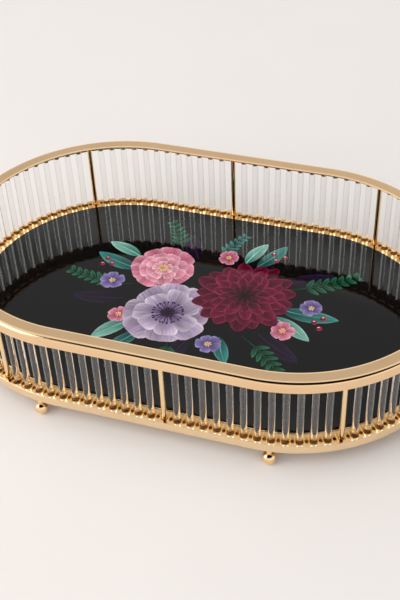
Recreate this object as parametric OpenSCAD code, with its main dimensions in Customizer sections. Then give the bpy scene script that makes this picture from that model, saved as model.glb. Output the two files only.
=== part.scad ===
// Oval serving tray: a black printed glass panel in a gold ring on ball feet,
// with a gallery of clear rods and gold posts under a flat gold rim.
// Millimetres, +Z up, floor at Z = 0, long axis along X, front towards -Y.
// Everything round the tray is placed along the rod line, an oval of two
// straight sides and two half-circle ends.

/* [Plan] */
// Distance between neighbouring rods, along the rod line
rod_pitch = 10; // [8.8:0.1:13]
// Length of each straight side of the rod line
straight_l = 150; // [100:1:200]
// Clear rods in each of the four bays along the sides
side_rods = 12; // [10:1:15]
// Clear rods in each of the four bays round the ends
end_rods = 13; // [9:1:16]
// Places from the middle of the front to the first post
post_start = 1; // [0:1:3]

/* [Gallery] */
// Diameter of the clear rods
rod_d = 5; // [3:0.1:5.6]
// Diameter of the posts
post_d = 4; // [3.6:0.1:5]
// Height of the rim's top above the panel
gallery_h = 61; // [30:0.5:90]
// Thickness of the two perforated strips
strip_t = 1; // [0.6:0.1:1.6]
// Width of the web between a socket and the upper strip's inner edge
strip_web = 0.5; // [0.3:0.1:3]
// Diameter of the small holes halfway between the rods
vent_d = 2.6; // [1.5:0.1:2.9]
// Gap between the upper strip and the rim's plate
strip_drop = 0.8; // [0.4:0.1:4]

/* [Top rim] */
// Reach of the rim inside the rod line
rim_in = 6.8; // [4.2:0.1:9]
// Reach of the rim outside the rod line
rim_out = 4.9; // [4.6:0.1:8]
// Height of the rim's outer band
rim_h = 9; // [7:0.1:14]
// Sheet thickness of the rim
rim_t = 1.2; // [0.8:0.1:1.8]
// Radius of the rounded edge between the rim's top and its band
rim_edge_r = 2.1; // [0.5:0.1:2.6]

/* [Lower ring] */
// Reach of the ring inside the rod line, to the inner face of its lip
lip_in = 8.3; // [6:0.1:12]
// Reach of the ring outside the rod line
ring_out = 5; // [4.8:0.1:10]
// Height of the ring's outer side
ring_h = 7.5; // [6:0.1:12]
// Height of the panel's face above the ring's perforated strip
panel_rise = 2; // [0:0.1:4]
// Sheet thickness of the ring
ring_t = 1.2; // [0.8:0.1:1.6]
// Thickness of the lip
lip_t = 0.8; // [0.5:0.1:1]
// Width of the ledge that carries the panel
ledge_w = 10; // [5:0.5:20]

/* [Panel] */
// Thickness of the glass panel
panel_t = 4; // [3:0.1:5]

/* [Feet] */
// Diameter of the ball feet
ball_d = 10.5; // [8:0.1:16]
// Diameter of the ground flat under each ball
flat_d = 3; // [1:0.1:5]
// Height of the neck between a ball and the ring
neck_h = 3; // [1:0.1:8]
// Diameter of the neck
neck_d = 4; // [3:0.1:7]
// Length along the rod line from the middle of a side to a foot
foot_s = 89; // [40:1:110]
// Distance of a foot's middle from the ring's outer side
foot_inset = 2.2; // [2:0.1:6]

/* [Fasteners] */
// Diameter of a foot's stud
stud_d = 2; // [1.6:0.1:2.5]
// Diameter of a post's screw
screw_d = 2; // [1.6:0.1:2.4]
// Length of the screw's thread in a post
screw_grip = 7; // [4:0.5:15]
// Diameter of the screw's pan head
head_d = 4; // [3.4:0.1:5]
// Height of the screw's pan head
head_h = 1.4; // [1:0.1:2]

/* [Clearances] */
// Gap between the panel and the lip
panel_gap = 0.3; // [0.1:0.1:0.6]
// Gap round a rod in its sockets
socket_gap = 0.4; // [0.1:0.1:0.6]
// Gap between a strip's edge and the wall that holds it
strip_gap = 0.1; // [0.05:0.05:0.3]
// Gap round a post in the strips
post_gap = 0.1; // [0.05:0.05:0.3]
// Gap above the rods under the rim
rod_play = 0.2; // [0.1:0.1:0.6]
// Gap round a screw or stud in its hole
screw_gap = 0.1; // [0.05:0.05:0.3]
// Gap above the tip of a post's screw
screw_tip = 1; // [0.5:0.1:3]
// Gap between the tip of a foot's stud and the top of the ring's floor
stud_tip = 0.1; // [0.05:0.05:0.4]

/* [Hidden] */
$fn = 96;
// Rods of each bay, in order from the first post
bay_rods = [side_rods, end_rods, end_rods, side_rods, side_rods, end_rods, end_rods, side_rods];
bay_count = len(bay_rods);
place_count = 4 * (side_rods + 1) + 4 * (end_rods + 1);
line_l = place_count * rod_pitch;
end_r = (line_l - 2 * straight_l) / (2 * PI);
half_l = straight_l / 2;
end_l = PI * end_r;
// Margin that carries a cutter past the faces it cuts
cut = 1;

socket_d = rod_d + 2 * socket_gap;
post_hole_d = post_d + 2 * post_gap;
screw_hole_d = screw_d + 2 * screw_gap;
stud_hole_d = stud_d + 2 * screw_gap;
lower_strip_in = lip_in - lip_t - strip_gap;
upper_strip_in = socket_d / 2 + strip_web;
panel_in = lip_in + panel_gap;
foot_out = ring_out - foot_inset;

ball_r = ball_d / 2;
ball_z = sqrt(pow(ball_r, 2) - pow(flat_d / 2, 2));
ring_z = ball_z + ball_r + neck_h;
floor_z = ring_z + ring_t;
ring_top_z = ring_z + ring_h;
panel_z = ring_top_z + panel_rise;
board_t = panel_z - floor_z - panel_t;
rim_z = panel_z + gallery_h;
plate_z = rim_z - rim_t;
upper_strip_z = plate_z - strip_drop - strip_t;
lower_strip_z = ring_top_z - strip_t;
stud_l = ring_t - stud_tip;

// Each foot's name and its length along the rod line
back_s = line_l / 2;
foot_places = [
    ["foot_front_left", -foot_s],
    ["foot_front_right", foot_s],
    ["foot_back_right", back_s - foot_s],
    ["foot_back_left", back_s + foot_s]
];

gold = "#d8b07c";
gold_dark = "#c0914f";
clear_rod = "#dfe6ea80";
black_glass = "#161618";
brown_board = "#6b4a32";
steel = "#b9bcc0";

// Length along the rod line, brought back into one lap from the middle of the front
function lap(s) = s - line_l * floor(s / line_l);

// Middle of the turn at length s: it slides along the straight sides and rests at the ends
function middle_x(s) =
    s < half_l ? s
    : s < half_l + end_l ? half_l
    : s < 3 * half_l + end_l ? 2 * half_l + end_l - s
    : s < 3 * half_l + 2 * end_l ? -half_l
    : s - line_l;

// Degrees turned since the middle of the front
function turned(s) =
    s < half_l ? 0
    : s < half_l + end_l ? (s - half_l) / end_r * 180 / PI
    : s < 3 * half_l + end_l ? 180
    : s < 3 * half_l + 2 * end_l ? 180 + (s - 3 * half_l - end_l) / end_r * 180 / PI
    : 360;

// Places from the first post to post i, counted from 1
function places_to(i) = i == 1 ? 0 : places_to(i - 1) + bay_rods[i - 2] + 1;

// Length along the rod line of post i, counted from 1
function post_s(i) = (post_start + places_to(i)) * rod_pitch;

// Stands its children on the rod line at length s, with -Y pointing outwards
module on_line(s) {
    translate([middle_x(lap(s)), 0, 0])
        rotate([0, 0, turned(lap(s))])
            translate([0, -end_r, 0])
                children();
}

// Carries a flat profile round the tray: X is the reach outside the rod line, Y the height
module round_the_tray() {
    for (side = [0, 180])
        rotate([0, 0, side]) {
            translate([half_l, -end_r, 0])
                rotate([90, 0, -90])
                    linear_extrude(straight_l)
                        children();
            translate([half_l, 0, 0])
                rotate([0, 0, -90])
                    rotate_extrude(angle = 180)
                        translate([end_r, 0])
                            children();
        }
}

// Rectangle of a profile, from reach x0 to x1 and height z0 to z1
module bar(x0, x1, z0, z1) {
    translate([x0, z0])
        square([x1 - x0, z1 - z0]);
}

// Oval plate that ends at a reach from the rod line
module oval_plate(reach, thickness) {
    linear_extrude(thickness) {
        translate([-half_l, -(end_r + reach)])
            square([straight_l, 2 * (end_r + reach)]);
        for (x = [-half_l, half_l])
            translate([x, 0])
                circle(r = end_r + reach);
    }
}

// Stands its children at each of the posts
module at_posts() {
    for (i = [1:bay_count])
        on_line(post_s(i))
            children();
}

// Stands its children at the foot at length s
module at_foot(s) {
    on_line(s)
        translate([0, -foot_out, 0])
            children();
}

// Stands its children at each of the feet
module at_feet() {
    for (f = foot_places)
        at_foot(f[1])
            children();
}

// Perforated strip: a socket round each rod, a close hole round each post, a small hole between
module perforated_strip(x0, x1, z0) {
    difference() {
        round_the_tray()
            bar(x0, x1, z0, z0 + strip_t);
        for (i = [1:bay_count]) {
            for (k = [1:bay_rods[i - 1]])
                on_line(post_s(i) + k * rod_pitch)
                    translate([0, 0, z0 - cut])
                        cylinder(d = socket_d, h = strip_t + 2 * cut);
            for (k = [0:bay_rods[i - 1]])
                on_line(post_s(i) + (k + 0.5) * rod_pitch)
                    translate([0, 0, z0 - cut])
                        cylinder(d = vent_d, h = strip_t + 2 * cut);
        }
        at_posts()
            translate([0, 0, z0 - cut])
                cylinder(d = post_hole_d, h = strip_t + 2 * cut);
    }
}

// Black glass panel, printed on its face, that lies inside the lip
module base_panel() {
    color(black_glass)
        translate([0, 0, floor_z + board_t])
            oval_plate(-panel_in, panel_t);
}

// Hardboard that lies on the ring's ledge and backs the glass
module backing_board() {
    color(brown_board)
        translate([0, 0, floor_z])
            oval_plate(-panel_in, board_t);
}

// Sheet channel with a ledge for the panel, holes for the post screws and the feet's studs
module lower_ring() {
    color(gold)
        difference() {
            round_the_tray() {
                bar(-lip_in - ledge_w, ring_out, ring_z, floor_z);
                bar(ring_out - ring_t, ring_out, ring_z, ring_top_z);
                bar(-lip_in, lip_t - lip_in, ring_z, ring_top_z);
            }
            at_posts()
                translate([0, 0, ring_z - cut])
                    cylinder(d = screw_hole_d, h = ring_t + 2 * cut);
            at_feet()
                translate([0, 0, ring_z - cut])
                    cylinder(d = stud_hole_d, h = ring_t + 2 * cut);
        }
}

// Perforated strip that closes the ring's channel and holds the rods' feet
module lower_strip() {
    color(gold_dark)
        perforated_strip(-lower_strip_in, ring_out - ring_t - strip_gap, lower_strip_z);
}

// Perforated strip inside the rim that holds the rods' heads
module upper_strip() {
    color(gold_dark)
        perforated_strip(-upper_strip_in, rim_out - rim_t - strip_gap, upper_strip_z);
}

// Flat rim: a top plate and an outer band, joined by a rounded edge
module top_rim() {
    color(gold)
        round_the_tray() {
            bar(-rim_in, rim_out - rim_edge_r, plate_z, rim_z);
            bar(rim_out - rim_t, rim_out, rim_z - rim_h, rim_z - rim_edge_r);
            difference() {
                intersection() {
                    translate([rim_out - rim_edge_r, rim_z - rim_edge_r])
                        circle(r = rim_edge_r);
                    bar(rim_out - rim_edge_r, rim_out, rim_z - rim_edge_r, rim_z);
                }
                bar(rim_out - rim_edge_r - cut, rim_out - rim_t, rim_z - rim_edge_r - cut, plate_z);
            }
        }
}

// Gold post from the channel's floor to the rim's plate, with a screw hole in its foot
module post(i) {
    color(gold)
        on_line(post_s(i))
            translate([0, 0, floor_z])
                difference() {
                    cylinder(d = post_d, h = plate_z - floor_z);
                    translate([0, 0, -cut])
                        cylinder(d = screw_hole_d, h = screw_grip + screw_tip + cut);
                }
}

// The clear rods of one bay, standing on the channel's floor
module rod_bay(i) {
    color(clear_rod)
        for (k = [1:bay_rods[i - 1]])
            on_line(post_s(i) + k * rod_pitch)
                translate([0, 0, floor_z])
                    cylinder(d = rod_d, h = plate_z - rod_play - floor_z);
}

// Pan-head screws that hold the posts from below
module post_screws() {
    color(steel)
        at_posts()
            translate([0, 0, ring_z]) {
                translate([0, 0, -head_h])
                    cylinder(d = head_d, h = head_h);
                cylinder(d = screw_d, h = ring_t + screw_grip);
            }
}

// Ball foot with a ground flat, a neck against the ring and a stud screwed into the channel's floor
module foot(s) {
    color(gold)
        at_foot(s)
            difference() {
                translate([0, 0, ball_z]) {
                    sphere(r = ball_r);
                    cylinder(d = neck_d, h = ring_z - ball_z);
                    cylinder(d = stud_d, h = ring_z + stud_l - ball_z);
                }
                translate([-ball_r, -ball_r, -ball_d])
                    cube(ball_d);
            }
}

base_panel();
backing_board();
lower_ring();
lower_strip();
upper_strip();
top_rim();
for (i = [1:bay_count]) {
    post(i);
    rod_bay(i);
}
for (f = foot_places)
    foot(f[1]);
post_screws();
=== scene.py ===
import math

import bmesh
import bpy
import numpy as np
from mathutils import Matrix, Vector


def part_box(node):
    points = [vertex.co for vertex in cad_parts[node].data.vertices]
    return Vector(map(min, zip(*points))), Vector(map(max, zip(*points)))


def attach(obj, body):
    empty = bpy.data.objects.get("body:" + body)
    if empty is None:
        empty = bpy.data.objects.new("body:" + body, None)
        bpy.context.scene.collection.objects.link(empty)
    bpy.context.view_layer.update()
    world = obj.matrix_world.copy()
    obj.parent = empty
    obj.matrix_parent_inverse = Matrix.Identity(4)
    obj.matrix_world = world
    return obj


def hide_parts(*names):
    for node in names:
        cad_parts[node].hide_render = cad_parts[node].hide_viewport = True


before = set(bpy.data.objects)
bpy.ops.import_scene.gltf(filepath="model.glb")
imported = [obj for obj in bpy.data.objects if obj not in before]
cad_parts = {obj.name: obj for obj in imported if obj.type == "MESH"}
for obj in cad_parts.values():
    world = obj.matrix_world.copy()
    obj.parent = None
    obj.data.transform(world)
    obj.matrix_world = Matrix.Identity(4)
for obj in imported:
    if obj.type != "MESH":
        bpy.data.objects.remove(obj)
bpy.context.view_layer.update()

# Ball feet
# Four solid brass balls, turned in one piece with a short neck and a threaded stud, polished and
# gold plated. The stud screws into the floor of the ring's channel.

mm = 0.001


def ball_outline(radius, height, neck, steps):
    """Half outline of a ball from the ground flat to the neck: points of a circle round the ball's
    middle, from the flat's edge up to where the neck's side meets it."""
    low = math.asin(-height / radius)
    high = math.acos(neck / radius)
    angle = np.linspace(low, high, steps)
    return np.stack([radius * np.cos(angle), height + radius * np.sin(angle)], -1)


def lathe(outline, spots, sides):
    """Turns an outline (radius, height) round upright axes at the spots: copies x outline x sides. An
    outline with a middle axis has a radius and height of its own at each side."""
    angle = np.linspace(0, 2 * math.pi, sides + 1)
    ring = np.stack([np.cos(angle), np.sin(angle)], -1)
    outline = outline.reshape(len(outline), -1, 2)
    flat = spots[:, None, None, :] + outline[None, :, :, :1] * ring[None, None, :, :]
    height = np.broadcast_to(outline[None, :, :, 1:], flat.shape[:3] + (1,))
    return np.concatenate([flat, height], -1)


def grid_faces(copies, rows, columns):
    """Four corners of each cell between neighbouring rows and columns, in every copy of the grid."""
    first = np.arange(rows * columns).reshape(rows, columns)
    cell = np.stack([first[:-1, :-1], first[1:, :-1], first[1:, 1:], first[:-1, 1:]], -1).reshape(-1, 4)
    return (cell[None] + np.arange(copies)[:, None, None] * rows * columns).reshape(-1, 4)


# Points that lie this near each other are one point.
meeting = 0.0005 * mm


def make_piece(name, points, material, uv=None, faces=None, paint=None, sharp=50):
    """Mesh of a grid of points, copies x rows x columns x 3. Points that meet at seams and poles are
    merged, the faces turned outwards, and edges sharper than the angle, in degrees, kept crisp."""
    if faces is None:
        faces = grid_faces(*points.shape[:3])
    mesh = bpy.data.meshes.new(name)
    mesh.from_pydata(points.reshape(-1, 3).tolist(), [], faces.tolist())
    corners = np.empty(len(mesh.loops), int)
    mesh.loops.foreach_get("vertex_index", corners)
    if uv is not None:
        flat_uv = np.broadcast_to(uv, points.shape[:3] + (2,)).reshape(-1, 2)
        mesh.uv_layers.new(name="UVMap").data.foreach_set("uv", flat_uv[corners].ravel())
    if paint is not None:
        colour = np.broadcast_to(paint, points.shape[:3] + (4,)).reshape(-1, 4)
        painted = mesh.color_attributes.new("paint", "FLOAT_COLOR", "CORNER")
        painted.data.foreach_set("color", colour[corners].ravel())
    shell = bmesh.new()
    shell.from_mesh(mesh)
    bmesh.ops.remove_doubles(shell, verts=shell.verts, dist=meeting)
    bmesh.ops.recalc_face_normals(shell, faces=shell.faces)
    shell.to_mesh(mesh)
    shell.free()
    mesh.shade_smooth()
    mesh.set_sharp_from_angle(angle=math.radians(sharp))
    mesh.materials.append(material)
    piece = bpy.data.objects.new(name, mesh)
    bpy.context.scene.collection.objects.link(piece)
    return piece


def linear(colour):
    """Linear RGBA of an sRGB hex colour."""
    srgb = np.array([int(colour[i:i + 2], 16) for i in (1, 3, 5)]) / 255
    rgb = np.where(srgb <= 0.04045, srgb / 12.92, ((srgb + 0.055) / 1.055) ** 2.4)
    return (*rgb, 1.0)


def add(tree, kind, inputs={}, **settings):
    """Adds a node with its settings. An input takes a value, or the output that is linked to it."""
    node = tree.nodes.new("ShaderNode" + kind)
    for name, value in settings.items():
        setattr(node, name, value)
    for name, value in inputs.items():
        if isinstance(value, bpy.types.NodeSocket):
            tree.links.new(value, node.inputs[name])
        else:
            node.inputs[name].default_value = value
    return node


def new_material(name):
    """A node material with an empty tree: the material and its tree."""
    material = bpy.data.materials.new(name)
    material.use_nodes = True
    material.node_tree.nodes.clear()
    return material, material.node_tree


# A noise pattern mostly stays within this span.
noise_span = {"From Min": 0.3, "From Max": 0.7}


def polished_gold(name, bright, deep, roughness, smear):
    """Gold plate on polished brass. It mirrors the room in warm yellow. Thin films of handling grease
    and uneven plating vary its tone and gloss in patches about 14 mm wide, and a faint ripple of 0.9 mm
    is left from the polishing."""
    material, tree = new_material(name)
    place = add(tree, "TexCoord").outputs["Object"]
    patch = add(tree, "TexNoise", {"Vector": place, "Scale": 1 / (14 * mm), "Detail": 3}).outputs["Fac"]
    fine = add(tree, "TexNoise", {"Vector": place, "Scale": 1 / (0.9 * mm), "Detail": 2}).outputs["Fac"]
    tone = add(tree, "Mix", {0: patch, 6: linear(bright), 7: linear(deep)}, data_type="RGBA")
    gloss = add(tree, "MapRange", {
        "Value": patch, **noise_span, "To Min": roughness, "To Max": roughness + smear})
    bump = add(tree, "Bump", {"Height": fine, "Strength": 0.02, "Distance": 0.05 * mm})
    metal = add(tree, "BsdfPrincipled", {
        "Base Color": tone.outputs[2], "Metallic": 1.0, "Roughness": gloss.outputs["Result"],
        "Normal": bump.outputs["Normal"]})
    add(tree, "OutputMaterial", {"Surface": metal.outputs["BSDF"]})
    return material


neck_r = 2 * mm
stud_r = 1 * mm
flat_r = 1.5 * mm
flat_hold = 0.1 * mm
neck_hold = 0.3 * mm
neck_arris = 0.1 * mm
stud_arris = 0.3 * mm
ball_steps = 24
foot_sides = 40
ring_low, ring_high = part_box("lower_ring")
neck_top = ring_low.z
ball_gold = polished_gold("mirror_polished_gold_plate", "#fbdaa8", "#f5d09b", roughness=0.02, smear=0.03)

for corner in ("front_left", "front_right", "back_right", "back_left"):
    foot_low, foot_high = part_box("foot_" + corner)
    spot = np.array([[(foot_low.x + foot_high.x) / 2, (foot_low.y + foot_high.y) / 2]])
    ball_r = (foot_high.x - foot_low.x) / 2
    ball_z = math.sqrt(ball_r ** 2 - flat_r ** 2)
    ball = ball_outline(ball_r, ball_z, neck_r, ball_steps)
    outline = np.concatenate([
        [[0, 0], [flat_r - flat_hold, 0]],
        ball,
        [[neck_r, ball[-1, 1] + neck_hold]],
        [[neck_r, neck_top - neck_arris], [neck_r - neck_arris, neck_top]],
        [[stud_r, neck_top], [stud_r, foot_high.z - stud_arris]],
        [[stud_r - stud_arris, foot_high.z], [0, foot_high.z]]])
    foot = make_piece("ball_foot_" + corner, lathe(outline, spot, foot_sides), ball_gold)
    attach(foot, "root")
    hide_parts("foot_" + corner)

# Lower ring
# One strip of brass sheet, rolled to a channel with an inner lip and a ledge for the panel, bent round
# the oval, soldered shut, satin finished along its length and gold plated.

# The rod line is the oval through the middles of the rods and posts: two straight sides and two half
# circles. Lengths along it start at the middle of the front and go round by the right end.
post_low, post_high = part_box("post_1")
end_r = -(post_low.y + post_high.y) / 2
half_l = ring_high.x - ring_high.y
end_l = math.pi * end_r
line_l = 4 * half_l + 2 * end_l

# Rods of each bay, in order from the first post, and the places for them and the posts.
bay_rods = np.array([12, 13, 13, 12, 12, 13, 13, 12])
place_count = len(bay_rods) + bay_rods.sum()


def rod_line(s):
    """Points of the rod line and its outward directions at lengths s from the middle of the front.
    The middle of the turn slides along the straight sides and rests at the ends, where the outward
    direction turns with the length covered."""
    s = np.mod(s, line_l)
    stops = np.cumsum([0, half_l, end_l, 2 * half_l, end_l, half_l])
    middle = np.interp(s, stops, [0, half_l, half_l, -half_l, -half_l, 0])
    turn = np.interp(s, stops, [0, 0, math.pi, math.pi, 2 * math.pi, 2 * math.pi])
    outward = np.stack([np.sin(turn), -np.cos(turn)], -1)
    points = end_r * outward
    points[..., 0] += middle
    return points, outward


def rounded_outline(corners, steps, hold=0.08 * mm):
    """Closed outline from corners (x, y, radius). Each corner becomes an arc that is tangent to both
    of its sides, with one more point just past either end, which keeps the flat sides flat to light."""
    corners = np.array(corners, float)
    corner, radius = corners[:, :2], corners[:, 2:]
    before = corner - np.roll(corner, 1, 0)
    before /= np.linalg.norm(before, axis=1, keepdims=True)
    after = np.roll(before, -1, 0)
    cross = before[:, :1] * after[:, 1:] - before[:, 1:] * after[:, :1]
    turn = np.arctan2(cross, (before * after).sum(1, keepdims=True))
    reach = radius * np.tan(abs(turn) / 2)
    start, end = corner - before * reach, corner + after * reach
    side = np.sign(turn) * np.stack([-before[:, 1], before[:, 0]], -1)
    centre = start + radius * side
    angle = turn * np.linspace(0, 1, steps + 1)
    spoke = start - centre
    arc_x = spoke[:, :1] * np.cos(angle) - spoke[:, 1:] * np.sin(angle)
    arc_y = spoke[:, :1] * np.sin(angle) + spoke[:, 1:] * np.cos(angle)
    arc = centre[:, None] + np.stack([arc_x, arc_y], -1)
    outline = np.concatenate([(start - before * hold)[:, None], arc, (end + after * hold)[:, None]], 1)
    outline = outline.reshape(-1, 2)
    return np.concatenate([outline, outline[:1]])


def lengths_along(points):
    """Distance covered along the points of an outline, from its first point."""
    step = np.linalg.norm(np.diff(points, axis=0), axis=1)
    return np.concatenate([[0], np.cumsum(step)])


def round_the_tray(outline):
    """Carries an outline round the rod line: a point's first number is its reach outside the line,
    its second its height. The copy, station and outline axes make one grid, closed at its seam."""
    stations = np.linspace(0, line_l, 2 * place_count + 1)
    points, outward = rod_line(stations)
    flat = points[:, None, :] + outward[:, None, :] * outline[None, :, :1]
    height = np.broadcast_to(outline[None, :, 1:], flat.shape[:2] + (1,))
    uv = np.stack(np.broadcast_arrays(stations[:, None], lengths_along(outline)[None, :]), -1)
    return np.concatenate([flat, height], -1)[None], uv[None]


def satin_gold(name, bright, deep):
    """Gold plate on brass that was rubbed lengthwise with a fine abrasive. The rub lines spread each
    reflection into a soft sheen across the sheet. They are about 0.05 mm wide on the real sheet and
    are drawn ten times as wide, so that they show. The tone shifts in patches about 30 mm wide."""
    material, tree = new_material(name)
    uv = add(tree, "UVMap").outputs["UV"]
    along = add(tree, "Mapping", {"Vector": uv, "Scale": (1 / (60 * mm), 1 / (0.5 * mm), 1)})
    rub = add(tree, "TexNoise", {
        "Vector": along.outputs["Vector"], "Scale": 1.0, "Detail": 4, "Roughness": 0.6}).outputs["Fac"]
    place = add(tree, "TexCoord").outputs["Object"]
    patch = add(tree, "TexNoise", {"Vector": place, "Scale": 1 / (30 * mm), "Detail": 2}).outputs["Fac"]
    tone = add(tree, "Mix", {0: patch, 6: linear(bright), 7: linear(deep)}, data_type="RGBA")
    gloss = add(tree, "MapRange", {"Value": rub, **noise_span, "To Min": 0.05, "To Max": 0.11})
    bump = add(tree, "Bump", {"Height": rub, "Strength": 0.12, "Distance": 0.02 * mm})
    metal = add(tree, "BsdfPrincipled", {
        "Base Color": tone.outputs[2], "Metallic": 1.0, "Roughness": gloss.outputs["Result"],
        "Normal": bump.outputs["Normal"]})
    add(tree, "OutputMaterial", {"Surface": metal.outputs["BSDF"]})
    return material


def pale_painted_light_brass():
    """Pale yellow, dull brass for the channel's inside, with little mirror and spotted every 2 mm or so:
    painted light, lighter than the gold, that lifts the shade deep in the channel."""
    material, tree = new_material("dull_brass_painted_light")
    place = add(tree, "TexCoord").outputs["Object"]
    spots = add(tree, "TexNoise", {"Vector": place, "Scale": 1 / (2 * mm), "Detail": 4}).outputs["Fac"]
    tone = add(tree, "Mix", {0: spots, 6: linear("#e8c08c"), 7: linear("#f3d2a2")}, data_type="RGBA")
    metal = add(tree, "BsdfPrincipled", {"Base Color": tone.outputs[2], "Metallic": 0.2, "Roughness": 0.5})
    add(tree, "OutputMaterial", {"Surface": metal.outputs["BSDF"]})
    return material


ring_t = 1.2 * mm
lip_t = 0.8 * mm
ledge_w = 10 * mm
panel_gap = 0.3 * mm
edge_r = 0.3 * mm
fold_r = 0.5 * mm
lip_r = 0.35 * mm
# Height below the channel's top within which the inside stays gold; lower down it takes the pale painted
# light.
gold_inside_h = 0.6 * mm
panel_low, panel_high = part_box("base_panel")
lip_in = end_r - panel_high.y - panel_gap
ring_out = ring_high.y - end_r
ring_z = ring_low.z
floor_z = ring_z + ring_t
ring_top = ring_high.z

ring_gold = satin_gold("satin_gold_plate", "#fce0b8", "#f3d3a9")
ring_outline = rounded_outline([
    (-lip_in - ledge_w, ring_z, edge_r),
    (ring_out, ring_z, fold_r),
    (ring_out, ring_top, edge_r),
    (ring_out - ring_t, ring_top, edge_r),
    (ring_out - ring_t, floor_z, edge_r),
    (lip_t - lip_in, floor_z, edge_r),
    (lip_t - lip_in, ring_top, lip_r),
    (-lip_in, ring_top, lip_r),
    (-lip_in, floor_z, edge_r),
    (-lip_in - ledge_w, floor_z, edge_r)], steps=4)
ring_points, ring_uv = round_the_tray(ring_outline)
ring = make_piece("lower_ring_channel", ring_points, ring_gold, ring_uv)

# Faces of the channel's inside, lower than a set height below its top, take a pale dull brass: painted light
# that lifts the shade deep in the channel.
ring.data.materials.append(pale_painted_light_brass())
middles = np.empty(3 * len(ring.data.polygons))
ring.data.polygons.foreach_get("center", middles)
middle_x, middle_y, middle_z = middles.reshape(-1, 3).T
reach = np.hypot(np.maximum(abs(middle_x) - half_l, 0), middle_y) - end_r
inside = (reach > lip_t / 2 - lip_in) & (reach < ring_out - ring_t / 2)
inside &= (middle_z > ring_z + ring_t / 2) & (middle_z < ring_top - gold_inside_h)
ring.data.polygons.foreach_set("material_index", inside.astype(int))
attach(ring, "root")
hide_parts("lower_ring")

# Backing board
# A sheet of brown hardboard on the ring's ledge. It is pressed on a wire screen, which leaves a fine
# cross grid on the side that shows from below.


def hardboard():
    """Pressed wood fibre: matt brown, mottled, with the screen's grid of 1.4 mm on its underside."""
    material, tree = new_material("brown_hardboard")
    place = add(tree, "TexCoord").outputs["Object"]
    fibre = add(tree, "TexNoise", {
        "Vector": place, "Scale": 1 / (2.5 * mm), "Detail": 6, "Roughness": 0.7}).outputs["Fac"]
    tone = add(tree, "Mix", {0: fibre, 6: linear("#5a3d28"), 7: linear("#80593a")}, data_type="RGBA")
    wires = add(tree, "Mapping", {"Vector": place, "Scale": (1 / (1.4 * mm),) * 3})
    screen = add(tree, "TexVoronoi", {"Vector": wires.outputs["Vector"], "Scale": 1.0, "Randomness": 0.0})
    bump = add(tree, "Bump", {"Height": screen.outputs["Distance"], "Strength": 0.4, "Distance": 0.2 * mm})
    board = add(tree, "BsdfPrincipled", {
        "Base Color": tone.outputs[2], "Roughness": 0.75, "Normal": bump.outputs["Normal"]})
    add(tree, "OutputMaterial", {"Surface": board.outputs["BSDF"]})
    return material


def refinish(node, material):
    """Gives a CAD node that stays in view its finished material."""
    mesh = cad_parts[node].data
    mesh.materials.clear()
    mesh.materials.append(material)


refinish("backing_board", hardboard())

# Black glass panel
# Float glass, cut to the oval with a ground and polished edge, lacquered black behind. It drops inside
# the lip onto the backing board.


def lacquered_glass():
    """Clear float glass, lacquered black behind: a deep black that mirrors the gallery at low angles, a
    little weaker than bare glass does. Dust and wiping marks about 35 mm wide leave a trace in its gloss."""
    material, tree = new_material("black_lacquered_glass")
    place = add(tree, "TexCoord").outputs["Object"]
    wiping = add(tree, "TexNoise", {
        "Vector": place, "Scale": 1 / (35 * mm), "Detail": 5, "Distortion": 1.5}).outputs["Fac"]
    gloss = add(tree, "MapRange", {
        "Value": wiping, "From Min": 0.35, "From Max": 0.75, "To Min": 0.01, "To Max": 0.03})
    tone = add(tree, "Mix", {0: wiping, 6: linear("#080809"), 7: linear("#0b0b0d")}, data_type="RGBA")
    glass = add(tree, "BsdfPrincipled", {
        "Base Color": tone.outputs[2], "Roughness": gloss.outputs["Result"], "IOR": 1.37})
    add(tree, "OutputMaterial", {"Surface": glass.outputs["BSDF"]})
    return material


panel_edge = panel_high.y - end_r
panel_z = panel_high.z
arris = 0.4 * mm
panel_outline = rounded_outline([
    (-end_r, panel_low.z, 0),
    (panel_edge, panel_low.z, arris),
    (panel_edge, panel_z, arris),
    (-end_r, panel_z, 0)], steps=3)
panel_points, panel_uv = round_the_tray(panel_outline)
panel = make_piece("black_glass_panel", panel_points, lacquered_glass(), panel_uv)
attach(panel, "root")
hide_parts("base_panel")

# Floral print
# Ceramic ink, printed on the glass and fired to a thin glossy film: leaves and sprigs first, then small
# blossoms and berries, then three large open flowers over them.

hand = np.random.default_rng(7)
strokes = []


def brush(at, angle, length, width, root, tip, edge, fullness=(0.9, 0.55), bend=0.0):
    """Adds leaf-shaped strokes in millimetres, each from its start along its angle. The width follows a
    power of the way from the root times a power of the way to the tip; the bend leans the tip over."""
    at = np.reshape(at, (-1, 2))
    shape = np.stack(np.broadcast_arrays(at[:, 0], at[:, 1], angle, length, width, *fullness, bend), -1)
    colour = np.concatenate([linear(root)[:3], linear(tip)[:3], linear(edge)[:3]])
    strokes.append(np.concatenate([shape, colour * hand.uniform(0.82, 1.12, (len(shape), 1))], 1))


def compass(angle):
    """Unit vectors at the angles."""
    return np.stack([np.cos(angle), np.sin(angle)], -1)


def petal_ring(middle, count, inner, outer, width, turn, *colours, fullness=(0.9, 0.45)):
    """Petals round a flower's middle from an inner to an outer radius, each a little off in angle, length,
    width and bend, as by hand."""
    angle = turn + 2 * math.pi * np.arange(count) / count + hand.normal(0, 0.05, count)
    length = (outer - inner) * hand.uniform(0.9, 1.08, count)
    brush(np.array(middle) + inner * compass(angle), angle, length, width * hand.uniform(0.88, 1.12, count),
          *colours, fullness=fullness, bend=hand.normal(0, 0.07, count))


def leaf(at, angle, length, width, root, tip, edge, bend=0.12):
    """A blade at an angle in degrees and, over it, its pale midrib."""
    angle = math.radians(angle)
    brush(at, angle, length, width, root, tip, edge, fullness=(0.75, 0.8), bend=bend)
    brush(at, angle, 0.92 * length, 0.7, edge, edge, edge, fullness=(0.3, 0.8), bend=bend)


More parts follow.
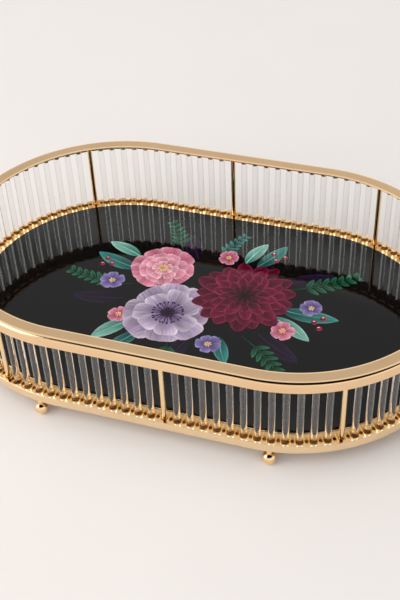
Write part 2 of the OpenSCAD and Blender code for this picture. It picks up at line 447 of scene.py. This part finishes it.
def sprig(at, angle, length, pairs, leaflet, root, tip, edge, bend=0.2):
    """A bent stem with pairs of small leaves that get shorter towards its tip. A leaf starts at its way
    along the stem, and the bend times the square of that way to the side."""
    angle = math.radians(angle)
    brush(at, angle, length, 1.0, root, tip, tip, fullness=(0.2, 0.5), bend=bend)
    way = np.linspace(0.3, 1, pairs)
    lean = angle + np.arctan(2 * bend * way)
    sideways = bend * way[:, None] ** 2 * compass(angle + math.pi / 2)
    stem = np.array(at) + length * (way[:, None] * compass(angle) + sideways)
    for side in (-1, 1):
        brush(stem, lean + side * (0.75 - 0.2 * way), leaflet * (1.15 - 0.5 * way), 0.34 * leaflet,
              root, tip, edge, fullness=(0.7, 0.8), bend=0.15 * side)


def blossom(middle, radius, turn, root, tip, edge):
    """A small open flower of five petals with a cream eye."""
    petal_ring(middle, 5, 0.1 * radius, radius, 0.95 * radius, turn, root, tip, edge, fullness=(0.9, 0.35))
    petal_ring(middle, 7, 0, 0.3 * radius, 0.12 * radius, turn, "#c98f3c", "#f0d79a", "#f6e6b8")


def berries(at, radius):
    """Round red berries, each with a small light spot."""
    at = np.array(at, float)
    brush(at - [radius, 0], 0, 2 * radius, 2 * radius, "#4c0a1e", "#a31f45", "#c4486a", fullness=(0.5, 0.5))
    brush(at + [-0.5 * radius, 0.3 * radius], 0.5, 0.7 * radius, 0.45 * radius,
          "#f3d3da", "#f3d3da", "#e9b4c2", fullness=(0.5, 0.5))


teal = ("#0f3f41", "#37857f", "#62aa9d")
mint = ("#2d6f66", "#7fb8a8", "#aed6c8")
green = ("#0b2c20", "#1f6a49", "#3c8d68")
plum = ("#0f0814", "#221130", "#33203f")

leaf((-20, 52), 118, 42, 15, *plum)
leaf((58, 40), 32, 46, 15, *plum, bend=-0.1)
leaf((52, -22), -38, 44, 16, *plum)
leaf((-64, -10), 196, 44, 15, *plum, bend=-0.1)
leaf((2, -40), 248, 34, 14, *plum)
leaf((62, 10), -8, 48, 15, *teal)
leaf((58, 0), -24, 40, 13, *mint, bend=-0.1)
leaf((-66, 28), 172, 42, 14, *teal, bend=-0.15)
leaf((-70, 44), 152, 34, 12, *mint)
leaf((20, 58), 78, 32, 12, *mint, bend=-0.15)
leaf((30, 56), 54, 38, 13, *teal)
leaf((-50, -34), 222, 36, 14, *mint)
leaf((-40, -44), 244, 30, 12, *teal, bend=-0.15)
leaf((24, -34), -72, 30, 12, *teal)
sprig((60, 34), 18, 58, 7, 13, *green)
sprig((40, -28), -30, 56, 7, 12, *green, bend=-0.2)
sprig((-62, 8), 188, 54, 7, 12, *green, bend=-0.2)
sprig((-36, 58), 108, 40, 6, 11, *green)
sprig((-2, 56), 84, 36, 6, 10, *teal, bend=-0.2)
sprig((-14, -46), -84, 30, 5, 10, *green)

rose_pink = ("#9c2f57", "#d5849c", "#eab8c4")
periwinkle = ("#443672", "#8577b0", "#b5aad2")
blossom((70, -14), 10, 0.3, *rose_pink)
blossom((86, 18), 9, 0.8, *periwinkle)
blossom((4, 62), 9, 0.1, *rose_pink)
blossom((-82, 8), 10, 0.5, *periwinkle)
blossom((-62, -30), 9, 0.2, *rose_pink)
blossom((18, -44), 10, 0.9, *periwinkle)
berries([(92, 2), (98, 8), (97, -4)], 2.6)
berries([(-90, 28), (-96, 34), (-98, 26)], 2.4)
berries([(44, 68), (50, 74), (40, 76)], 2.3)

camellia = (-46, 34)
cupped = (0.9, 0.32)
petal_ring(camellia, 9, 6, 27, 19, 0.2, "#8f1f48", "#d67f98", "#edb9c4", fullness=cupped)
petal_ring(camellia, 8, 4, 20.5, 15, 0.5, "#a12c55", "#df93a7", "#f1c6ce", fullness=cupped)
petal_ring(camellia, 7, 3, 14.5, 11, 0.1, "#b03c63", "#e6a4b3", "#f4d0d6", fullness=cupped)
petal_ring(camellia, 5, 1, 9, 8, 0.6, "#bd4f72", "#ecb4bf", "#f7dadd", fullness=cupped)
petal_ring(camellia, 12, 0, 4.6, 1.3, 0, "#b9803a", "#f1d694", "#f8e8bb")

anemone = (-24, -18)
broad = (0.8, 0.3)
petal_ring(anemone, 8, 4, 36, 28, 0.15, "#54426a", "#b19db8", "#d8c9da", fullness=broad)
petal_ring(anemone, 7, 4, 27, 21, 0.5, "#604c76", "#c1afc5", "#e1d4e2", fullness=broad)
petal_ring(anemone, 24, 3, 12.5, 0.8, 0, "#2a1636", "#4c2f5c", "#5d3e6e", fullness=(0.2, 0.3))
petal_ring(anemone, 24, 11.2, 13.6, 1.7, 0.02, "#1d0f26", "#3a2246", "#573c66", fullness=(0.5, 0.5))
petal_ring(anemone, 12, 0, 6.2, 3.4, 0.2, "#150a1c", "#2b1836", "#4a3058", fullness=(0.5, 0.4))

dahlia = (30, 18)
pointed = (0.8, 0.62)
petal_ring(dahlia, 17, 14, 42, 14.5, 0.0, "#180309", "#560a26", "#8c2049", fullness=pointed)
petal_ring(dahlia, 16, 11, 35.5, 13, 0.2, "#1c040b", "#640c2b", "#972852", fullness=pointed)
petal_ring(dahlia, 14, 8, 28.5, 11.5, 0.05, "#1f050d", "#6f0e31", "#a3325d", fullness=pointed)
petal_ring(dahlia, 12, 6, 21.5, 9.5, 0.3, "#1a040b", "#650d2c", "#9c2f58", fullness=pointed)
petal_ring(dahlia, 10, 3, 15, 7.5, 0.1, "#140308", "#530a24", "#8c264d", fullness=pointed)
petal_ring(dahlia, 8, 1, 9.5, 5, 0.4, "#0d0205", "#3d071a", "#731d3f", fullness=pointed)
petal_ring(dahlia, 6, 0, 5, 3, 0.0, "#070103", "#260411", "#52122b", fullness=pointed)


def ink_film(rows):
    """Slabs of ink, copies x rows x columns. Columns run from root to tip along one side and back along
    the other. Rows run under the ink from the middle to the edge, up the edge and back over the top.
    Each stroke lies a hair above the one before. Colours run from root to tip with a power of the way,
    and to the edge's with the fourth power of the offset, and one side is a fifth lighter."""
    step = (1 - np.cos(np.linspace(0, math.pi, way_steps))) / 2
    way = np.concatenate([step, step[-2::-1]])
    side = np.concatenate([np.ones(way_steps), -np.ones(way_steps - 1)])
    across = np.array([0, 1, 1, 0.75, 0.4, 0])[:, None]
    raised = np.array([0, 0, 1, 1, 1, 1])[:, None]
    x, y, angle, length, width, low, high, bend = rows[:, :8].T[:, :, None, None]
    peak = (low / (low + high)) ** low * (high / (low + high)) ** high
    offset = side * across * width / 2 * way ** low * (1 - way) ** high / peak
    sideways = offset + length * bend * way ** 2
    forward = length * way
    layer = film_t + layer_t * np.arange(len(rows))[:, None, None]
    points = np.stack(np.broadcast_arrays(
        mm * (x + forward * np.cos(angle) - sideways * np.sin(angle)),
        mm * (y + forward * np.sin(angle) + sideways * np.cos(angle)),
        panel_z - film_t + raised * (film_t + layer)), -1)
    root, tip, edge = rows[:, 8:].reshape(-1, 3, 1, 1, 3).transpose(1, 0, 2, 3, 4)
    colour = root + (tip - root) * (way ** 1.3)[:, None]
    colour = colour + (edge - colour) * (across ** 4 * way)[..., None]
    colour = colour * (1 + 0.1 * side)[:, None]
    paint = np.concatenate([colour, np.ones(colour.shape[:3] + (1,))], -1)
    start = streak_shift * np.arange(len(rows))[:, None, None]
    uv = mm * np.stack(np.broadcast_arrays(offset, forward + start), -1)
    return points, uv, paint


def fired_ink():
    """Glossy fired ink: it mirrors like the glass beside it. Fine brush streaks, about a millimetre wide
    and a centimetre long, run along each stroke and shift its tone."""
    material, tree = new_material("fired_ceramic_ink")
    uv = add(tree, "UVMap").outputs["UV"]
    drawn = add(tree, "Mapping", {"Vector": uv, "Scale": (1 / (1.1 * mm), 1 / (12 * mm), 1)})
    streak = add(tree, "TexNoise", {"Vector": drawn.outputs["Vector"], "Scale": 1.0, "Detail": 4})
    shade = add(tree, "MapRange", {
        "Value": streak.outputs["Fac"], **noise_span, "To Min": 0.62, "To Max": 1.15})
    paint = add(tree, "VertexColor", layer_name="paint").outputs["Color"]
    tone = add(tree, "VectorMath", {0: paint, "Scale": shade.outputs["Result"]}, operation="SCALE")
    ink = add(tree, "BsdfPrincipled", {"Base Color": tone.outputs["Vector"], "Roughness": 0.03, "IOR": 1.37})
    add(tree, "OutputMaterial", {"Surface": ink.outputs["BSDF"]})
    return material


# The streak pattern starts this many millimetres further on in each stroke, so no two look alike.
streak_shift = 37
way_steps = 12
film_t = 0.02 * mm
layer_t = 0.001 * mm
ink_points, ink_uv, ink_paint = ink_film(np.concatenate(strokes))
ink = make_piece("floral_print", ink_points, fired_ink(), ink_uv, paint=ink_paint, sharp=30)
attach(ink, "root")
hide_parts("base_panel")

# Perforated strips
# Thin brass strip, pierced with a socket for each rod, a close hole for each post and a small hole
# halfway between, plated a deeper gold. One closes the channel, one sits inside the rim.

# Places lie one pitch apart. The first post stands just right of the middle of the front, and each
# bay starts with its post.
pitch = line_l / place_count
first_post = (post_low.x + post_high.x) / 2
post_places = np.cumsum(bay_rods + 1) - bay_rods - 1


def perforated_strip(reach_in, reach_out, low, high):
    """Cells along the rod line, one round each place and one round each small hole. In a cell the rows
    run from its lower border to the hole's lower edge, up the wall, over a round and out to its upper
    border; the columns run round the border, and each meets the hole where its spoke crosses it. The
    colour is painted shade: deep amber at the hole and its wall, fading to plain gold at the border."""
    sockets = np.full(place_count, socket_r)
    sockets[post_places] = post_hole_r
    vents = np.full(place_count, vent_r)
    places = first_post + np.arange(place_count) * pitch
    side = np.linspace(reach_in, reach_out, side_cuts + 1)[:-1]
    levels = [
        (None, low), (0, low), (0, high - hole_round), (0.3 * hole_round, high - 0.3 * hole_round),
        (0.8 * hole_round, high), (1.3 * hole_round, high - 0.3 * dish), (None, high - dish)]
    # Share of the painted shade at each level: full at the hole and its wall, none at the border.
    painted_hole_shade = np.array([0, 1, 1, 1, 1, 0.9, 0])[:, None]
    level_z = np.array([z for _, z in levels])[None, :, None, None]
    points, paint, faces, count = [], [], [], 0
    for centre, half_w, hole, cuts in ((places, pitch / 2 - vent_cell, sockets, socket_cuts),
                                       (places + pitch / 2, vent_cell, vents, vent_cuts)):
        across = np.linspace(-half_w, half_w, cuts + 1)[:-1]
        border = np.concatenate([
            np.stack([np.full_like(side, half_w), side], -1),
            np.stack([-across, np.full_like(across, reach_out)], -1),
            np.stack([np.full_like(side, -half_w), reach_in + reach_out - side], -1),
            np.stack([across, np.full_like(across, reach_in)], -1)])
        spoke = border / np.linalg.norm(border, axis=1, keepdims=True)
        local = np.stack([
            np.broadcast_to(border, (place_count,) + border.shape) if grow is None
            else (hole[:, None, None] + grow) * spoke for grow, _ in levels], 1)
        at, outward = rod_line(centre[:, None, None] + local[..., 0])
        flat = at + outward * local[..., 1:]
        grid = np.concatenate([flat, np.broadcast_to(level_z, flat.shape[:3] + (1,))], -1)
        rows, columns = grid.shape[1:3]
        here = np.arange(rows * columns).reshape(rows, columns)
        beyond = np.roll(here, -1, 1)
        skin = np.stack([here[:-1], here[1:], beyond[1:], beyond[:-1]], -1).reshape(-1, 4)
        edge = np.r_[side_cuts:side_cuts + cuts, 2 * side_cuts + cuts:columns]
        wall = np.stack([here[-1, edge], here[0, edge], beyond[0, edge], beyond[-1, edge]], -1)
        cell = np.concatenate([skin, wall])
        first = count + np.arange(place_count)[:, None, None] * rows * columns
        faces.append((cell[None] + first).reshape(-1, 4))
        points.append(grid.reshape(-1, 3))
        # Painted shade: each cell's colour runs from plain gold at its border to deep amber at its hole.
        colour = border_gold_tone + (painted_hole_shade_tone - border_gold_tone) * painted_hole_shade
        paint.append(np.broadcast_to(colour[:, None], grid.shape[:3] + (4,)).reshape(-1, 4))
        count += grid.size // 3
    return np.concatenate(points)[None, None], np.concatenate(faces), np.concatenate(paint)[None, None]


def gold_with_painted_hole_shade():
    """Gold plate with painted shade: its colour runs from plain gold at the border to deep amber at each
    hole. It mirrors the room in yellow, and in deep amber at each hole, with uneven tone and gloss in
    patches of 6 mm."""
    material, tree = new_material("gold_plate_painted_hole_shade")
    place = add(tree, "TexCoord").outputs["Object"]
    patch = add(tree, "TexNoise", {"Vector": place, "Scale": 1 / (6 * mm), "Detail": 3}).outputs["Fac"]
    paint = add(tree, "VertexColor", layer_name="paint").outputs["Color"]
    patchy_tone = add(tree, "MapRange", {"Value": patch, **noise_span, "To Min": 0.85, "To Max": 1.05})
    tone = add(tree, "VectorMath", {0: paint, "Scale": patchy_tone.outputs["Result"]}, operation="SCALE")
    gloss = add(tree, "MapRange", {"Value": patch, **noise_span, "To Min": 0.06, "To Max": 0.12})
    metal = add(tree, "BsdfPrincipled", {
        "Base Color": tone.outputs["Vector"], "Metallic": 1.0, "Roughness": gloss.outputs["Result"]})
    add(tree, "OutputMaterial", {"Surface": metal.outputs["BSDF"]})
    return material


socket_r = 2.9 * mm
post_hole_r = 2.1 * mm
vent_r = 1.3 * mm
vent_cell = 1.7 * mm
hole_round = 0.25 * mm
dish = 0.12 * mm
strip_web = 0.5 * mm
strip_gap = 0.1 * mm
side_cuts = 10
socket_cuts = 6
vent_cuts = 3

# Plain gold of the strips, and the deep amber painted round each hole as shade.
border_gold_tone = np.array(linear("#fbd69f"))
painted_hole_shade_tone = np.array(linear("#c68126"))
strip_gold = gold_with_painted_hole_shade()
for strip, reach_in in (("lower_strip", lip_in - lip_t - strip_gap), ("upper_strip", socket_r + strip_web)):
    strip_low, strip_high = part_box(strip)
    strip_points, strip_faces, painted_hole_shade = perforated_strip(
        -reach_in, strip_high.y - end_r, strip_low.z, strip_high.z)
    pierced = make_piece(
        "pierced_" + strip, strip_points, strip_gold, faces=strip_faces, paint=painted_hole_shade, sharp=35)
    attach(pierced, "root")
    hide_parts(strip)

# Posts
# Drawn brass rod, cut to length, its ends faced and its arrises broken, polished and gold plated. Each
# stands in a close hole of both strips and is screwed from below.

post_r = (post_high.x - post_low.x) / 2
post_arris = 0.25 * mm
post_sides = 32
post_gold = polished_gold("polished_gold_plate", "#fce2b8", "#f4d5a5", roughness=0.07, smear=0.05)
post_outline = np.array([
    [0, post_low.z], [post_r - post_arris, post_low.z], [post_r, post_low.z + post_arris],
    [post_r, post_low.z + 2 * post_arris], [post_r, post_high.z - 2 * post_arris],
    [post_r, post_high.z - post_arris], [post_r - post_arris, post_high.z], [0, post_high.z]])
for number, place in enumerate(post_places, 1):
    spot = rod_line(np.array([first_post + place * pitch]))[0]
    post = make_piece(f"gold_post_{number}", lathe(post_outline, spot, post_sides), post_gold)
    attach(post, "root")
    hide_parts(f"post_{number}")

# Clear rods
# Drawn clear glass rod, cut and fire polished at the ends, twelve or thirteen between each pair of
# posts. A rod stands on the channel's floor and is held by the sockets of the two strips.


def drawn_glass():
    """Drawn glass: water clear, with faint draw lines along it, 3 mm apart and 80 mm long, that dull
    its gloss a trace and catch the light."""
    material, tree = new_material("clear_drawn_glass")
    place = add(tree, "TexCoord").outputs["Object"]
    drawn = add(tree, "Mapping", {"Vector": place, "Scale": (1 / (3 * mm), 1 / (3 * mm), 1 / (80 * mm))})
    lines = add(tree, "TexNoise", {"Vector": drawn.outputs["Vector"], "Scale": 1.0, "Detail": 2})
    gloss = add(tree, "MapRange", {"Value": lines.outputs["Fac"], "From Min": 0.4, "From Max": 0.7,
                                   "To Min": 0.0, "To Max": 0.004})
    glass = add(tree, "BsdfPrincipled", {
        "Base Color": linear("#fefefd"), "Roughness": gloss.outputs["Result"], "IOR": 1.49,
        "Transmission Weight": 1.0})
    add(tree, "OutputMaterial", {"Surface": glass.outputs["BSDF"]})
    return material


bay_low, bay_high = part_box("rod_bay_1")
rod_r = 2.5 * mm
rod_arris = 0.3 * mm
rod_sides = 48
rod_outline = np.array([
    [0, bay_low.z], [rod_r - rod_arris, bay_low.z], [rod_r, bay_low.z + rod_arris],
    [rod_r, bay_high.z - rod_arris], [rod_r - rod_arris, bay_high.z], [0, bay_high.z]])
rod_glass = drawn_glass()
for number, place in enumerate(post_places, 1):
    places = place + 1 + np.arange(bay_rods[number - 1])
    spots = rod_line(first_post + places * pitch)[0]
    rods = make_piece(f"clear_rods_{number}", lathe(rod_outline, spots, rod_sides), rod_glass, sharp=30)
    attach(rods, "root")
    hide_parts(f"rod_bay_{number}")

# Top rim
# Brass sheet, rolled to a flat top with a rounded outer edge and a band that turns down outside the
# rods, bent round the oval, satin finished and gold plated. The upper strip is soldered inside it.

rim_in = 6.8 * mm
rim_t = 1.2 * mm
rim_edge_r = 3.0 * mm
hem_w = 1.3 * mm
hem_h = 0.5 * mm
hem_r = 0.4 * mm
hem_edge_r = 0.2 * mm
rim_low, rim_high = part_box("top_rim")
rim_out = rim_high.y - end_r
rim_z = rim_high.z
rim_outline = rounded_outline([
    (-rim_in, rim_z - rim_t, edge_r),
    (rim_out - rim_t, rim_z - rim_t, rim_edge_r - rim_t),
    (rim_out - rim_t, rim_low.z, edge_r),
    (rim_out, rim_low.z, edge_r),
    (rim_out, rim_z, rim_edge_r),
    (hem_w - rim_in, rim_z, hem_r),
    (-rim_in, rim_z - hem_h, hem_edge_r)], steps=8)
rim_points, rim_uv = round_the_tray(rim_outline)
rim_gold = satin_gold("warm_satin_gold_plate", "#f8d6ac", "#efc99c")
rim = make_piece("flat_top_rim", rim_points, rim_gold, rim_uv)
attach(rim, "root")
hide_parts("top_rim")

# Post screws
# Zinc plated steel pan-head screws with a cross recess, cold formed from wire. One goes into each post
# from under the ring and pulls the post down on the channel's floor.


def zinc_plate():
    """Bright zinc plate: pale grey metal with a slightly cloudy gloss, uneven every 1.5 mm or so."""
    material, tree = new_material("zinc_plated_steel")
    place = add(tree, "TexCoord").outputs["Object"]
    cloud = add(tree, "TexNoise", {"Vector": place, "Scale": 1 / (1.5 * mm), "Detail": 3}).outputs["Fac"]
    tone = add(tree, "Mix", {0: cloud, 6: linear("#b4b7bb"), 7: linear("#cfd1d4")}, data_type="RGBA")
    gloss = add(tree, "MapRange", {"Value": cloud, "To Min": 0.2, "To Max": 0.42})
    metal = add(tree, "BsdfPrincipled", {
        "Base Color": tone.outputs[2], "Metallic": 1.0, "Roughness": gloss.outputs["Result"]})
    add(tree, "OutputMaterial", {"Surface": metal.outputs["BSDF"]})
    return material


def pan_head(low, seat, tip, sides):
    """Outline of a screw, point up, at each side: from the middle of the cross recess to the recess's
    edge, over a dome that rises with the fourth power of the radius, and up the thread to its tip. The
    recess ends at the nearer of an arm's side and its end."""
    turn = np.linspace(0, 2 * math.pi, sides + 1)
    turn = abs(np.mod(turn + math.pi / 4, math.pi / 2) - math.pi / 4)
    cross = np.minimum(arm_w / 2 / np.maximum(np.sin(turn), 0.01), arm_l / np.cos(turn))
    dome = np.concatenate([cross[None], np.repeat(dome_radii[:, None], sides + 1, 1)])
    top = np.stack([dome, low + dome_h * (dome / head_r) ** 4], -1)
    pit = np.stack([np.array([0, 0.6])[:, None] * cross, np.full((2, sides + 1), low + recess_h)], -1)
    shank = np.array([
        [head_r, seat], [screw_r, seat], [screw_r, tip - tip_h], [tip_r, tip], [0, tip]])
    return np.concatenate([pit, top, np.repeat(shank[:, None], sides + 1, 1)])


head_r = 2 * mm
screw_r = 1 * mm
tip_r = 0.6 * mm
tip_h = 0.4 * mm
dome_h = 0.6 * mm
dome_radii = np.array([1.3, 1.6, 1.85, 2.0]) * mm
recess_h = 0.7 * mm
arm_w = 0.6 * mm
arm_l = 1.1 * mm
screw_sides = 48
screw_low, screw_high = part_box("post_screws")
screw_outline = pan_head(screw_low.z, ring_z, screw_high.z, screw_sides)
screw_spots = rod_line(first_post + post_places * pitch)[0]
screw_points = lathe(screw_outline, screw_spots, screw_sides)
screws = make_piece("pan_head_screws", screw_points, zinc_plate(), sharp=35)
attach(screws, "root")
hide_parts("post_screws")

# Floor
# A wide round board, painted a matt pale grey that is a little warmer than white. It lies a hair under
# the feet.


def pale_floor():
    """Matt pale paint, faintly mottled in patches of 120 mm: it takes soft shadows and hardly mirrors."""
    material, tree = new_material("matt_pale_board")
    place = add(tree, "TexCoord").outputs["Object"]
    mottle = add(tree, "TexNoise", {"Vector": place, "Scale": 1 / (120 * mm), "Detail": 4}).outputs["Fac"]
    tone = add(tree, "Mix", {0: mottle, 6: linear("#dfdad7"), 7: linear("#e3dedb")}, data_type="RGBA")
    board = add(tree, "BsdfPrincipled", {
        "Base Color": tone.outputs[2], "Roughness": 0.9, "Specular IOR Level": 0.2})
    add(tree, "OutputMaterial", {"Surface": board.outputs["BSDF"]})
    return material


floor_r = 6.0
floor_drop = 0.2 * mm
floor_steps = 11
floor_sides = 64
floor_rings = np.linspace(0, floor_r, floor_steps + 1)[:, None]
floor_angle = np.linspace(0, 2 * math.pi, floor_sides + 1)[None, :]
floor_points = np.stack(np.broadcast_arrays(
    floor_rings * np.cos(floor_angle), floor_rings * np.sin(floor_angle), np.float64(-floor_drop)), -1)
floor = make_piece("floor", floor_points[None], pale_floor())

# Room light
# A pale studio: even light that is stronger from the front left, and for metal and glass a room with
# lit walls, a dark part high in front and two windows high behind. One soft lamp stands at the left.

# The walls brighten and dim with height, (height, level), with one narrow lit ledge halfway up.
wall_lean = (-0.17, 0, 1)
wall_tint = np.array([1, 0.98, 0.95])
wall_levels = (
    (0.1, 1.1), (0.25, 0.95), (0.5, 0.8), (0.645, 0.55), (0.654, 1.08), (0.669, 1.08),
    (0.681, 0.6), (0.757, 0.6), (0.775, 0.9), (0.88, 0.95))

# Middles are directions from the tray, edges the cosines where a part starts and is full.
dark_middle = (0.3, -0.6, 0.74)
dark_edge = (0.66, 0.72)
dark_low_z, dark_full_z = 0.52, 0.58
dark_tone = (0.004, 0.004, 0.004, 1)
left_window = (-0.7, 0.33, 0.64)
back_window = (0.35, 0.68, 0.64)
window_edge = (0.955, 0.975)
window_tone = (1.4, 1.4, 1.4, 1)
behind_tone = (1.1, 1.08, 1.06, 1)
bright_window_tone = (3.4, 3.4, 3.4, 1)
strong_side = (-0.7, -0.7, 0)
weak_light, strong_light = 0.4, 1.74

world = bpy.data.worlds.new("studio")
bpy.context.scene.world = world
world.use_nodes = True
tree = world.node_tree
tree.nodes.clear()
direction = add(tree, "TexCoord").outputs["Generated"]


def lobe(middle, start, full):
    """Part of the room round a direction: 0 outside, 1 inside, by the cosine of the angle between."""
    cosine = add(tree, "VectorMath", {0: direction, 1: Vector(middle).normalized()}, operation="DOT_PRODUCT")
    part = add(tree, "MapRange", {"Value": cosine.outputs["Value"], "From Min": start, "From Max": full},
               interpolation_type="SMOOTHSTEP")
    return part.outputs["Result"]


rise = add(tree, "VectorMath", {0: direction, 1: wall_lean}, operation="DOT_PRODUCT")
walls = add(tree, "ValToRGB", {"Fac": rise.outputs["Value"]})
for stop_rise, level in wall_levels:
    stop = walls.color_ramp.elements.new(stop_rise)
    stop.color = (*(level * wall_tint), 1)
walls.color_ramp.elements.remove(walls.color_ramp.elements[0])
walls.color_ramp.elements.remove(walls.color_ramp.elements[-1])

height = add(tree, "SeparateXYZ", {"Vector": direction}).outputs["Z"]
above = add(tree, "MapRange", {"Value": height, "From Min": dark_low_z, "From Max": dark_full_z})
dark = add(tree, "Math", {0: lobe(dark_middle, *dark_edge), 1: above.outputs["Result"]},
           operation="MULTIPLY")
windows = add(tree, "Math", {0: lobe(left_window, *window_edge), 1: lobe(back_window, *window_edge)})
dim_room = add(tree, "Mix", {0: dark.outputs["Value"], 6: walls.outputs["Color"], 7: dark_tone},
               data_type="RGBA")
room = add(tree, "Mix", {0: windows.outputs["Value"], 6: dim_room.outputs[2], 7: window_tone},
           data_type="RGBA")
behind = add(tree, "Mix", {0: windows.outputs["Value"], 6: behind_tone, 7: bright_window_tone},
             data_type="RGBA")
across = add(tree, "VectorMath", {0: direction, 1: strong_side}, operation="DOT_PRODUCT")
even = add(tree, "MapRange", {"Value": across.outputs["Value"], "From Min": -1, "From Max": 1,
                              "To Min": weak_light, "To Max": strong_light})

# Metal sees the room, clear glass what is behind it, the camera a plain pale backdrop, and all else
# takes the even light.
path = add(tree, "LightPath")
lit = add(tree, "Mix", {0: path.outputs["Is Glossy Ray"], 6: even.outputs["Result"], 7: room.outputs[2]},
          data_type="RGBA")
through = add(tree, "Mix", {0: path.outputs["Is Transmission Ray"], 6: lit.outputs[2], 7: behind.outputs[2]},
              data_type="RGBA")
seen = add(tree, "Mix", {0: path.outputs["Is Camera Ray"], 6: through.outputs[2], 7: linear("#e8e2de")},
           data_type="RGBA")
sky = add(tree, "Background", {"Color": seen.outputs[2], "Strength": 1.0})
add(tree, "OutputWorld", {"Surface": sky.outputs["Background"]})

lamp_place = Vector((-1.1, -0.8, 0.72))
lamp_aim = Vector((-0.1, -0.1, 0.03))
lamp = bpy.data.lights.new("left_lamp", "AREA")
lamp.size = 1.0
lamp.energy = 7
lamp.color = linear("#fff7ec")[:3]
lamp_stand = bpy.data.objects.new("left_lamp", lamp)
lamp_stand.location = lamp_place
lamp_stand.rotation_euler = (lamp_place - lamp_aim).to_track_quat("Z", "Y").to_euler()
bpy.context.scene.collection.objects.link(lamp_stand)

# Camera
# It stands in front of the tray, a little to the right, and looks down on it at the photograph's angle.
# Its place, turns and lens come from a fit to the tray's edges.

camera_place = Vector((210.30, -602.59, 593.63)) * mm
camera_turn = math.radians(19.429)
camera_tilt = math.radians(41.605)
camera_roll = math.radians(-2.649)
camera = bpy.data.objects.new("camera", bpy.data.cameras.new("camera"))
camera.data.lens = 63.23
camera.data.sensor_width = 36
camera.matrix_world = (
    Matrix.Translation(camera_place) @ Matrix.Rotation(camera_turn, 4, "Z")
    @ Matrix.Rotation(math.pi / 2 - camera_tilt, 4, "X") @ Matrix.Rotation(camera_roll, 4, "Z"))
bpy.context.scene.collection.objects.link(camera)
bpy.context.scene.camera = camera
bpy.context.scene.view_settings.view_transform = "Standard"
